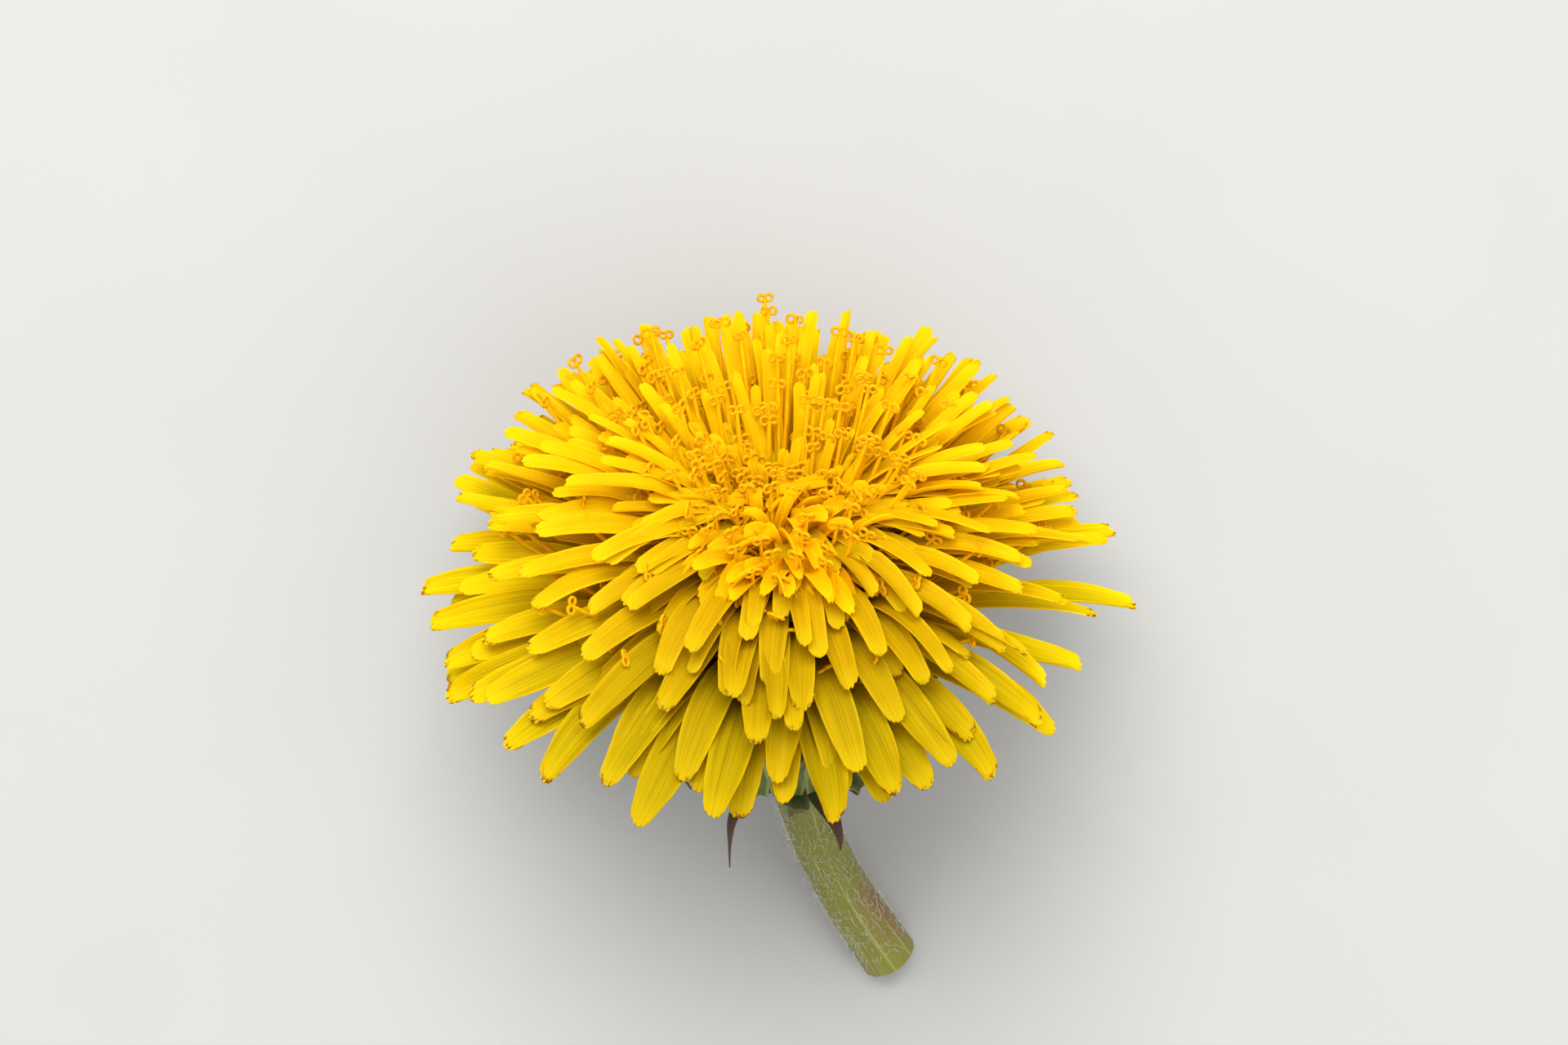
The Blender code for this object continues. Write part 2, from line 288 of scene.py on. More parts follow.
# Bracts: how far they are thinner at their edges and at their tips, and how far the keel stands out
BRACT_START = 0.2
BRACT_COLUMNS = 9
BRACT_EDGE_THINNING = 0.7
BRACT_TIP_THINNING = 0.8
BRACT_KEEL = 0.12
BRACT_KEEL_SLOPE = 2.2
BRACT_WAVE = 0.05
BRACT_WAVE_ANGLE = 11
BRACT_CLEARANCE = 0.1

# The inner bracts stand in two rows. Each row has its distance from the florets, as a share of the
# cup's wall, its share of the width and how much shorter it is. Chance shortens them and lowers
# their ends, from this stretch of the path on.
INNER_BRACTS = 14
INNER_BRACT_WIDTH = 3.3
INNER_BRACT_END = 0.56
INNER_BRACT_ROWS = ((0.9, 1.0, 0.0), (0.55, 0.8, 0.05))
INNER_BRACT_CHANCE = (0.9, 1.02)
INNER_BRACT_DROP = (-0.2, 0.7)
INNER_BRACT_LATE = (0.3, 0.6)
INNER_BRACT_POINTS = 13
INNER_BRACT = {
    "stations": ((0, 0.55), (0.2, 0.85), (0.45, 1.0), (0.65, 0.8), (0.85, 0.42), (1, 0.06)),
    "thickness": 0.42,
    "cup": -0.22,
}

# The outer bracts bend back down, along a path of radius and height. Chance turns them round the
# head, shifts the end of the path and twists them.
OUTER_BRACTS = 13
OUTER_BRACT_WIDTH = 1.9
OUTER_BRACT_PATH = ((2.4, -11.95), (5.0, -11.7), (7.2, -11.0), (6.2, -13.2))
OUTER_BRACT_TURN = 0.08
OUTER_BRACT_SHIFT = ((-0.5, 0.3), (-0.3, 0.5))
OUTER_BRACT_TIP_SHIFT = 1.5
OUTER_BRACT_TWIST = (-0.6, 0.2)
OUTER_BRACT_POINTS = 14
OUTER_BRACT = {
    "stations": ((0, 0.8), (0.25, 1.0), (0.5, 0.95), (0.75, 0.62), (0.92, 0.3), (1, 0.08)),
    "thickness": 0.4,
    "cup": 0.25,
}

# The dry outer bracts that show below the ligules in front, with how much further each hangs. They
# turn brown over this stretch of their length. Others are tucked up there.
DRY_BRACTS = {12: 2.0, 1: 0.3}
DRY_REACH = 0.6
DRY_WIDTH = 0.55
DRY_TWIST = 1.0
DRY_ONSET = (0, 0.5)
TUCKED_BRACTS = (0, 2, 11)
TUCK = (-0.6, 1.4)

# Scape: its middle line as sideways place and height, with the radius there
SCAPE_ROUTE = (
    (0.9, -12.0, 1.85),
    (1.5, -15.2, 1.58),
    (2.6, -18.9, 1.5),
    (4.25, -22.6, 1.58),
    (6.6, -26.9, 1.7),
)
SCAPE_TOP = RECEPTACLE_UNDERSIDE - 0.3
SCAPE_STEPS = 7
SCAPE_SIDES = 60
BORE_SHARE = 0.58

# The ribs and the lobes of the scape, as shares of its radius. Rings wider than this are ribbed.
SCAPE_RIBS = 15
RIB_SHARE = 0.018
SCAPE_LOBES = 4
LOBE_SHARE = 0.012
RIBBED_SHARE = 0.9

# The rings of the cut face, as shares of the radius, which lie this much out of its plane
CUT_RINGS = (0.97, 0.82, 0.68, BORE_SHARE)
CUT_UNEVENNESS = 0.06

# The hairs of the scape: the least and the most of their length, and their radius at root and tip.
# They are rooted at this share of the scape's radius. Each stands straight at first, and its bend
# and its tip lie this far out, at least and at most, and drift this far, as shares of its length.
HAIRS = 2100
HAIR_LENGTH = (0.35, 1.2)
HAIR_RADIUS = (0.015, 0.006)
HAIR_ROOT = 0.97
HAIR_STRAIGHT = 0.35
HAIR_BEND_OUT = (0.15, 0.6)
HAIR_TIP_OUT = (0.05, 0.45)
HAIR_DRIFT = (0.4, 0.9)
HAIR_SWAY = 0.4
HAIR_POINTS = 5
HAIR_SIDES = 3
HAIR_CLEARANCE = 0.05

UP = np.array((0, 0, 1.0))
POSE = Matrix.Translation(Vector(HEAD_PLACE)) @ Matrix.Rotation(AXIS_RISE - math.pi / 2, 4, "X")
TURN = np.array(POSE.to_3x3())
FLOOR_UP = TURN.T @ UP


def to_world(points):
    return points @ TURN.T + HEAD_PLACE


def above_floor(points, lowest):
    """The points, raised straight up where they lie lower than this above the floor."""
    short = np.maximum(0, lowest - to_world(points)[..., 2:3])
    return points + FLOOR_UP * short


def ramp(value, limits):
    """Rises smoothly from 0 to 1 while the value goes from one limit to the other."""
    share = np.clip((value - limits[0]) / (limits[1] - limits[0]), 0, 1)
    return share * share * (3 - 2 * share)


def mix(pair, share):
    return pair[0] + (pair[1] - pair[0]) * share


def along(angle):
    return np.array((math.sin(angle), math.cos(angle)))


def around(azimuth):
    """The directions away from the head's axis and round it. Azimuth 0 is the front."""
    outward = np.array((math.sin(azimuth), -math.cos(azimuth), 0))
    side = np.array((math.cos(azimuth), math.sin(azimuth), 0))
    return outward, side


def facing_front(azimuth):
    """How far this azimuth faces the front, from 0 at the back of the head to 1."""
    return float(ramp(math.cos(azimuth), (-1, 1)))


def unit(vectors):
    return vectors / np.maximum(np.linalg.norm(vectors, axis=-1, keepdims=True), 1e-9)


def bezier(points, t):
    t = np.asarray(t, float)[..., None]
    a, b, c, d = (np.asarray(p, float) for p in points)
    return a * (1 - t) ** 3 + b * 3 * t * (1 - t) ** 2 + c * 3 * t * t * (1 - t) + d * t**3


def floret_controls(rank, azimuth, vigour=1.0):
    """The four control points of a floret's path, as radius and height."""
    facing = facing_front(azimuth)
    grown = float(ramp(rank, (0, YOUNG_RANK)))
    bend = facing * grown * mix((BEND_AT_RIM, 1), float(ramp(1 - rank, (0, BEND_FADE))))
    tier = float(np.interp(rank, *zip(*FRONT_TIERS)))
    spread = mix(SPREAD, facing) * mix((rank**BACK_OPENING_POWER, tier), facing)
    length = mix(REACH, facing) - YOUNG_REACH
    back = float(ramp(rank, BACK_GROWTH))
    growth = mix((back, grown * rank**FRONT_GROWTH_POWER), facing**3)
    reach = YOUNG_REACH + length * growth
    reach *= (1 - LEFT_GAIN * math.sin(azimuth) * rank) * vigour
    mouth = np.array((MOUTH[0] * rank, MOUTH[1] + MOUTH_CROWN * (1 - rank)))
    tip = mouth + along(spread) * reach
    tip_angle = mix((spread + TIP_TURN, FRONT_TIP_ANGLE), facing) * grown + mix(BEND_TIP_TURN, bend)
    base = FLORET_BASE * (rank, 1)
    rise = base + (TUBE_RISE[0] * rank, TUBE_RISE[1] + mix(BEND_LIFT, bend))
    lead = tip - along(tip_angle) * mix(ARCH_SHARE, bend) * reach
    return base, rise, lead, tip


class Floret:
    """Where one floret runs, from its base (t = 0) to the tip of its ligule (t = 1)."""

    def __init__(self, rank, azimuth, vigour, drift, twist, width, chance):
        facing = facing_front(azimuth)
        self.rank, self.azimuth, self.drift, self.chance = rank, azimuth, drift, chance
        self.twist = twist - LEFT_ROLL * max(0, -math.sin(azimuth)) * rank
        self.width = width * mix((BACK_WIDTH, 1), facing)
        self.controls = floret_controls(rank, azimuth, vigour)
        self.pace = 3 * float(np.linalg.norm(self.controls[3] - self.controls[2]))
        self.outward, self.side = around(azimuth)
        self.lowest = max(0, FLOOR_RANK - rank) * FLOOR_STEP
        self.front = facing**4
        # How much painted shade darkens its ligule: most in front and at the rim
        self.shade = self.front * mix(SHADE, rank)

    def place(self, t):
        t = np.asarray(t, float)
        flat = bezier(self.controls, t)
        radius, height = flat[..., 0:1], flat[..., 1:2]
        sideways = self.drift * radius * t[..., None] ** 2
        return self.outward * radius + self.side * sideways + height * UP

    def frame(self, t):
        """The directions along the path, across the ligule and out of its upper face."""
        ahead = unit(self.place(np.add(t, 0.01)) - self.place(np.subtract(t, 0.01)))
        turn = (self.twist * np.asarray(t, float))[..., None]
        across = self.side * np.cos(turn) + np.cross(ahead, self.side) * np.sin(turn)
        lift = unit(np.cross(ahead, across))
        return ahead, np.cross(lift, ahead), lift


class Sheaf:
    """Gathers many small closed meshes into one piece, with a UV map and named values."""

    def __init__(self):
        self.points, self.uv, self.faces, self.values, self.count = [], [], [], {}, 0

    def add(self, points, uv, faces, **values):
        self.points.append(points)
        self.uv.append(uv)
        self.faces += [np.asarray(block) + self.count for block in faces]
        for name, value in values.items():
            self.values.setdefault(name, []).append(np.broadcast_to(value, len(points)))
        self.count += len(points)

    def build(self, name, material, slot, replaces=()):
        corners = np.concatenate([block.ravel() for block in self.faces]).astype(np.int32)
        sizes = np.concatenate([np.full(len(block), block.shape[1]) for block in self.faces])
        starts = np.concatenate(([0], np.cumsum(sizes)[:-1])).astype(np.int32)
        mesh = bpy.data.meshes.new(name)
        mesh.vertices.add(self.count)
        mesh.vertices.foreach_set("co", (to_world(np.concatenate(self.points)) * MM).ravel())
        mesh.loops.add(len(corners))
        mesh.loops.foreach_set("vertex_index", corners)
        mesh.polygons.add(len(sizes))
        mesh.polygons.foreach_set("loop_start", starts)
        mesh.update(calc_edges=True)
        # A face across the seam of the UV map takes its low side from the next turn
        flat = np.concatenate(self.uv)[corners]
        face = np.repeat(np.arange(len(sizes)), sizes)
        highest = np.maximum.reduceat(flat[:, 0], starts)[face]
        flat[:, 0] += (highest - flat[:, 0] > 0.5)
        mesh.uv_layers.new(name="UVMap").data.foreach_set("uv", flat.astype(np.float32).ravel())
        for key, parts in self.values.items():
            layer = mesh.attributes.new(key, "FLOAT", "POINT")
            layer.data.foreach_set("value", np.concatenate(parts).astype(np.float32))
        mesh.polygons.foreach_set("use_smooth", np.ones(len(sizes), bool))
        mesh.set_sharp_from_angle(angle=SHARP_ANGLE)
        mesh.materials.append(material)
        piece = bpy.data.objects.new(name, mesh)
        bpy.context.scene.collection.objects.link(piece)
        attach(piece, "root")
        if replaces:
            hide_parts(*replaces)


def grid(rows, columns, wrap=False):
    """Quads over a grid of points, whose last column meets the first if it wraps round."""
    row, column = np.meshgrid(np.arange(rows - 1), np.arange(columns - (not wrap)), indexing="ij")
    a, b = row * columns + column, row * columns + (column + 1) % columns
    return np.stack((a, b, b + columns, a + columns), -1).reshape(-1, 4)


def add_plate(sheaf, rows, column, upper, lower, **values):
    """Adds a closed thin plate, from rows and columns of points on its upper and lower faces."""
    count = len(rows) * len(column)
    top = grid(len(rows), len(column))
    number = np.arange(count).reshape(len(rows), len(column))
    rim = np.concatenate((number[0, :-1], number[:-1, -1], number[-1, :0:-1], number[:0:-1, 0]))
    after = np.roll(rim, -1)
    edge = np.stack((after, rim, rim + count, after + count), -1)
    points = np.concatenate((upper.reshape(-1, 3), lower.reshape(-1, 3)))
    v, u = np.meshgrid(rows, (column + 1) / 2, indexing="ij")
    uv = np.tile(np.stack((u.ravel(), v.ravel()), -1), (2, 1))
    under = np.repeat((0.0, 1.0), count)
    sheaf.add(points, uv, [top, top[:, ::-1] + count, edge], under=under, **values)


def round_body(rings, first, last):
    """The points, UVs and faces of a closed body: rings of points, and one to close each end."""
    rings = np.asarray(rings)
    count, sides = rings.shape[:2]
    points = np.concatenate((rings.reshape(-1, 3), [first], [last]))
    ring = np.arange(sides)
    end = ring + (count - 1) * sides
    near = np.stack((np.roll(ring, -1), ring, np.full(sides, count * sides)), -1)
    far = np.stack((end, np.roll(end, -1), np.full(sides, count * sides + 1)), -1)
    v, u = np.meshgrid(np.linspace(0, 1, count), ring / sides, indexing="ij")
    uv = np.concatenate((np.stack((u.ravel(), v.ravel()), -1), ((0, 0), (0, 1))))
    return points, uv, [grid(count, sides, wrap=True), near, far]


def tube(line, radii, sides):
    """A closed round bar along a line."""
    line, radii = np.asarray(line, float), np.asarray(radii, float)
    ahead = unit(np.gradient(line, axis=0))
    across = np.cross(ahead[0], (0.31, 0.22, 0.93))
    angles = np.arange(sides) / sides * math.tau
    rings = []
    for centre, direction, radius in zip(line, ahead, radii):
        across = unit(across - direction * np.dot(across, direction))
        other = np.cross(direction, across)
        ring = np.cos(angles)[:, None] * across + np.sin(angles)[:, None] * other
        rings.append(centre + ring * radius)
    return round_body(rings, line[0], line[-1])


def turned(profile, sides):
    """A closed turned shape from points of radius and height that start and end on the axis."""
    angles = np.arange(sides) / sides * math.tau
    rings = [
        np.stack((radius * np.sin(angles), -radius * np.cos(angles), np.full(sides, height)), -1)
        for radius, height in profile[1:-1]
    ]
    return round_body(rings, (0, 0, profile[0][1]), (0, 0, profile[-1][1]))


def width_at(rank):
    return mix(LIGULE_WIDTH, rank**WIDTH_POWER)


def drawn_floret(rank, azimuth, vigour, chance, other, stray=1, width=1):
    """A floret with its drift, twist and colour by chance."""
    draws = [chance.uniform(-most, most) for most in (stray * TIP_DRIFT, stray * MOST_TWIST)]
    return Floret(rank, azimuth, vigour, *draws, width_at(rank) * width, other.random())


def all_florets():
    """The florets of the solids, by the same rule and draws, and those that the scene adds."""
    chance = random.Random(SEED)
    other = random.Random(EXTRA_SEED)
    florets = []
    for i in range(FLORETS):
        rank = math.sqrt((i + 0.5) / FLORETS)
        vigour = chance.uniform(*VIGOUR)
        florets.append(drawn_floret(rank, i * GOLDEN_ANGLE, vigour, chance, other))
    for i in range(EXTRA_FLORETS):
        rank = mix(EXTRA_RANKS, (i + 0.5) / EXTRA_FLORETS)
        azimuth = (i + 0.5) * GOLDEN_ANGLE
        if math.cos(azimuth) > EXTRA_FRONT and i % 3:
            azimuth += math.pi
        vigour = mix(EXTRA_VIGOUR, other.random() ** mix(EXTRA_POWERS, rank))
        florets.append(drawn_floret(rank, azimuth, vigour, other, other, EXTRA_STRAY, EXTRA_WIDTH))
    for count, azimuths, vigours, ranks in SIDE_FLORETS:
        for i in range(count):
            rank = other.uniform(*ranks)
            azimuth = math.radians(mix(azimuths, (i + other.uniform(*SIDE_STEP)) / count))
            florets.append(drawn_floret(rank, azimuth, other.uniform(*vigours), other, other))
    return florets


def add_ligule(sheaf, floret, chance):
    """One ribbed strap, notched at its tip, that chance cups, waves and curls."""
    broad = floret.rank > BROAD_RANK
    rows = np.array(LIGULE_ROWS[broad], float)
    columns = LIGULE_COLUMNS[broad]
    column = np.linspace(-1, 1, columns)
    valley = np.arange(columns) % 2 == 0
    notch = np.array([chance.uniform(*NOTCHES) for _ in column]) * TOOTH
    corner = mix(CORNER, floret.rank) * floret.width
    short = (corner * np.abs(column) ** CORNER_POWER + notch * valley) / floret.pace
    t = (LIGULE_START + (1 - LIGULE_START) * rows)[:, None]
    t = t - short * ramp(rows, TIP_ONSET)[:, None]
    ahead, across, lift = floret.frame(t)
    stations = (*WIDTH_STATIONS, (1, mix(TIP_WIDTH, floret.rank**3)))
    half = np.interp(rows, *zip(*stations))[:, None] * floret.width / 2
    cup = chance.uniform(*EDGE_RISE) * floret.width
    ribs = np.where(valley, -1, 1) * RIB_DEPTH * ramp(rows, RIB_ONSET)[:, None]
    ribs = ribs * (np.abs(column) < 1)
    late = np.maximum(0, rows - CURL_START)[:, None] / (1 - CURL_START)
    curl = chance.uniform(*TIP_CURL) * late**2 * floret.rank
    phase = chance.uniform(0, math.tau)
    wave = WAVE * np.sin(rows * WAVE_ANGLE + phase)[:, None] * rows[:, None]
    sway = chance.uniform(-TIP_SWAY, TIP_SWAY) * late**2
    rise = cup * column**2 * ramp(rows, RISE_ONSET)[:, None] + ribs + curl + wave
    place = floret.place(t) + across * (half * column + sway)[..., None] + lift * rise[..., None]
    thin = LIGULE_THICKNESS / 2 * (1 - EDGE_THINNING * np.abs(column) ** 3)
    upper = above_floor(place + lift * thin[:, None], floret.lowest + LIGULE_THICKNESS)
    lower = above_floor(place - lift * thin[:, None], floret.lowest)
    # The front value is how much painted shade darkens this ligule
    values = {"rank": floret.rank, "chance": floret.chance, "front": floret.shade}
    add_plate(sheaf, rows, column, upper, lower, **values)


def add_floret_tube(sheaf, floret):
    t = np.linspace(TUBE_START, LIGULE_START + TUBE_OVERLAP, len(TUBE_SHAPE))
    points, uv, faces = tube(floret.place(t), mix(TUBE_RADIUS, floret.rank) * TUBE_SHAPE, ROD_SIDES)
    points = above_floor(points, floret.lowest)
    sheaf.add(points, uv, faces, chance=floret.chance)


def add_style(rods, curls, anthers, floret, chance):
    """A style with its anther tube, standing on the upper side of its ligule."""
    start = floret.place(STYLE_START)
    ahead, _, lift = floret.frame(STYLE_START)
    chord = floret.place(STYLE_AIM) - start
    behind = (1 - math.cos(floret.azimuth)) / 2
    share = mix(STYLE_LENGTH, floret.rank) + STYLE_BACK_GAIN * floret.rank * behind
    share = share + chance.uniform(*STYLE_CHANCE)
    length = np.linalg.norm(floret.place(1.0) - start) * share
    lean = mix(STYLE_LEAN, floret.rank)
    direction = unit(unit(chord) * (1 - lean) + UP * lean + lift * STYLE_LIFT)
    direction = unit(direction + floret.side * chance.uniform(-STYLE_SWAY, STYLE_SWAY))
    start = start + lift * (ANTHER_RADIUS + ANTHER_GAP)
    end = start + direction * length
    first = start + unit(ahead + direction) * length * STYLE_HANDLES[0]
    last = end - unit(direction + UP * STYLE_UPTURN) * length * STYLE_HANDLES[1]
    lowest = floret.lowest + STYLE_CLEARANCE
    controls = (start, first, last, end)
    line = above_floor(bezier(controls, np.linspace(0, 1, STYLE_POINTS)), lowest)
    reach = np.linspace(ANTHER_START, chance.uniform(*ANTHER_END), len(ANTHER_SHAPE))
    sleeve = above_floor(bezier(controls, reach), lowest)
    sleeve = tube(sleeve, ANTHER_SHAPE * ANTHER_RADIUS, ANTHER_SIDES)
    anthers.add(*sleeve, chance=floret.chance)
    add_rod(rods, curls, line, chance, floret.chance)


def add_rod(rods, curls, line, chance, hue):
    """The stalk of a style, and its two branches, curled into rings to either side of its end."""
    rods.add(*tube(line, np.full(STYLE_POINTS, STYLE_RADIUS), ROD_SIDES), chance=hue)
    tip = line[-1]
    ahead = unit(line[-1] - line[-2])
    turn = chance.uniform(-CURL_ASIDE, CURL_ASIDE)
    basis = unit(np.cross(ahead, CURL_VIEW) + 1e-6)
    other = np.cross(ahead, basis)
    sideways = basis * math.cos(turn) + other * math.sin(turn)
    across = np.cross(ahead, sideways)
    for sign in (-1, 1):
        radius = CURL_RADIUS * chance.uniform(*CURL_CHANCE)
        theta = np.linspace(0, CURL_TURN * chance.uniform(*CURL_TURN_CHANCE), CURL_POINTS)
        shrink = radius * (1 - CURL_TIGHTENING * theta / theta[-1])
        ring = tip + sideways * sign * (radius - np.cos(theta) * shrink)[:, None]
        ring = ring + ahead * (np.sin(theta) * shrink)[:, None]
        ring = ring + across * (sign * theta * CURL_RISE)[:, None]
        thick = CURL_THICKNESS * np.interp(theta / theta[-1], *zip(*CURL_SHAPE))
        curls.add(*tube(above_floor(ring, CURL_CLEARANCE), thick, ROD_SIDES), chance=hue)


def add_young_floret(sheaf, k, chance):
    """A short, rolled ligule that hooks over the middle of the head."""
    out = math.sqrt((k + 0.5) / YOUNG_FLORETS)
    azimuth = k * GOLDEN_ANGLE
    outward, _ = around(azimuth)
    heading = azimuth + chance.uniform(-YOUNG_HEADING, YOUNG_HEADING)
    heading += math.pi if chance.random() < YOUNG_TURNED_IN else 0
    away, flat = around(heading)
    top = mix(YOUNG_HEIGHT, out**2) + chance.uniform(*YOUNG_UNEVENNESS)
    base = outward * YOUNG_BASE * YOUNG_SPREAD * out + UP * YOUNG_BASE_HEIGHT
    knee = outward * YOUNG_SPREAD * out + (0, -YOUNG_FORWARD, top)
    tip = knee + away * chance.uniform(*YOUNG_REACH_OUT) + UP * chance.uniform(*YOUNG_DROOP)
    shoulder = mix((base, knee), YOUNG_SHOULDER) + UP * YOUNG_LIFTS[0]
    controls = (base, shoulder, knee + UP * YOUNG_LIFTS[1], tip)
    rows = np.linspace(0, 1, YOUNG_ROWS)
    column = np.linspace(-1, 1, YOUNG_COLUMNS)
    valley = np.arange(YOUNG_COLUMNS) % 2 == 0
    notch = chance.uniform(*YOUNG_NOTCHES) * valley
    short = notch + YOUNG_CORNER * np.abs(column) ** YOUNG_CORNER_POWER
    t = rows[:, None] - short * ramp(rows, YOUNG_TIP_ONSET)[:, None]
    ahead = unit(bezier(controls, t + 0.01) - bezier(controls, t - 0.01))
    turn = chance.uniform(-YOUNG_TWIST, YOUNG_TWIST) * rows[:, None, None]
    level = unit(flat - ahead * (ahead @ flat)[..., None])
    raised = np.cross(ahead, level)
    across = level * np.cos(turn) + raised * np.sin(turn)
    lift = raised * np.cos(turn) - level * np.sin(turn)
    width = chance.uniform(*YOUNG_WIDTH)
    half = np.interp(rows, *zip(*YOUNG_STATIONS))[:, None] * width / 2
    roll = mix(YOUNG_ROLL, ramp(rows, YOUNG_ROLL_CHANGE))[:, None] * width
    rise = roll * column**2 + np.where(valley, -1, 1) * YOUNG_RIB_DEPTH
    place = bezier(controls, t) + across * (half * column)[..., None] + lift * rise[..., None]
    thin = lift * LIGULE_THICKNESS / 2
    shade = {"rank": YOUNG_SHADE_RANK, "front": 0.0, "chance": chance.random()}
    add_plate(sheaf, rows, column, place + thin, place - thin, **shade)


def add_young_style(rods, curls, k, chance):
    """A style that stands up among the youngest ligules."""
    out = math.sqrt((k + 0.5) / YOUNG_STYLES)
    outward, _ = around(k * GOLDEN_ANGLE + YOUNG_STYLE_TURN)
    top = mix(YOUNG_HEIGHT, out**2) + chance.uniform(*YOUNG_STYLE_RISE)
    foot = outward * YOUNG_STYLE_FOOT * YOUNG_SPREAD * out + (0, -YOUNG_FORWARD / 2, 0)
    end = outward * YOUNG_SPREAD * mix(YOUNG_STYLE_SPREAD, out) + (0, -YOUNG_FORWARD, top)
    first, last = foot + UP * YOUNG_STYLE_HANDLES[0], end - UP * YOUNG_STYLE_HANDLES[1]
    controls = (foot, first, last, end)
    line = bezier(controls, np.linspace(0, 1, STYLE_POINTS))
    add_rod(rods, curls, line, chance, chance.random())


def beside(controls, distance, t):
    """Points this far outside a path of radius and height."""
    ahead = unit(bezier(controls, np.add(t, 0.01)) - bezier(controls, np.subtract(t, 0.01)))
    outward = np.stack((ahead[..., 1], -ahead[..., 0]), -1)
    return bezier(controls, t) + outward * distance


def add_bract(sheaf, route, azimuth, width, chance, stations, thickness, cup, twist=0.0, dry=0.0):
    """A pointed, keeled bract along a route of radius and height, brown where it is dry."""
    column = np.linspace(-1, 1, BRACT_COLUMNS)
    outward, side = around(azimuth)
    centre = outward * route[:, :1] + UP * route[:, 1:]
    ahead = unit(np.gradient(centre, axis=0))
    rows = np.linspace(0, 1, len(route))
    turn = (twist * rows)[:, None]
    across = unit(side * np.cos(turn) + np.cross(ahead, side) * np.sin(turn))
    lift = unit(np.cross(ahead, across))
    half = np.interp(rows, *zip(*stations))[:, None] * width / 2
    keel = BRACT_KEEL * np.maximum(0, 1 - np.abs(column) * BRACT_KEEL_SLOPE)
    rise = cup * column**2 * half - keel * half
    wave = BRACT_WAVE * np.sin(rows * BRACT_WAVE_ANGLE + chance.uniform(0, 6))
    rise = rise + wave[:, None] * np.abs(column)
    place = centre[:, None] + across[:, None] * (half * column)[..., None]
    place = place + lift[:, None] * rise[..., None]
    thin = thickness / 2 * (1 - BRACT_EDGE_THINNING * np.abs(column) ** 2)
    thin = thin * (1 - BRACT_TIP_THINNING * rows[:, None] ** 2)
    upper = above_floor(place + lift[:, None] * thin[..., None], BRACT_CLEARANCE)
    lower = above_floor(place - lift[:, None] * thin[..., None], BRACT_CLEARANCE)
    withered = dry * np.tile(np.repeat(ramp(rows, DRY_ONSET), BRACT_COLUMNS), 2)
    add_plate(sheaf, rows, column, upper, lower, chance=chance.random(), dry=withered)


def smooth_line(points, steps):
    """Points on a Catmull-Rom curve through these points, with this many to a span."""
    points = np.asarray(points, float)
    padded = np.concatenate(([points[0] * 2 - points[1]], points, [points[-1] * 2 - points[-2]]))
    line = []
    for a, b, c, d in zip(padded, padded[1:], padded[2:], padded[3:]):
        for t in np.arange(steps) / steps:
            line.append(
                b
                + (c - a) * (t / 2)
                + (a * 2 - b * 5 + c * 4 - d) * (t * t / 2)
                + (b * 3 - a - c * 3 + d) * (t**3 / 2)
            )
    return np.array([*line, points[-1]])


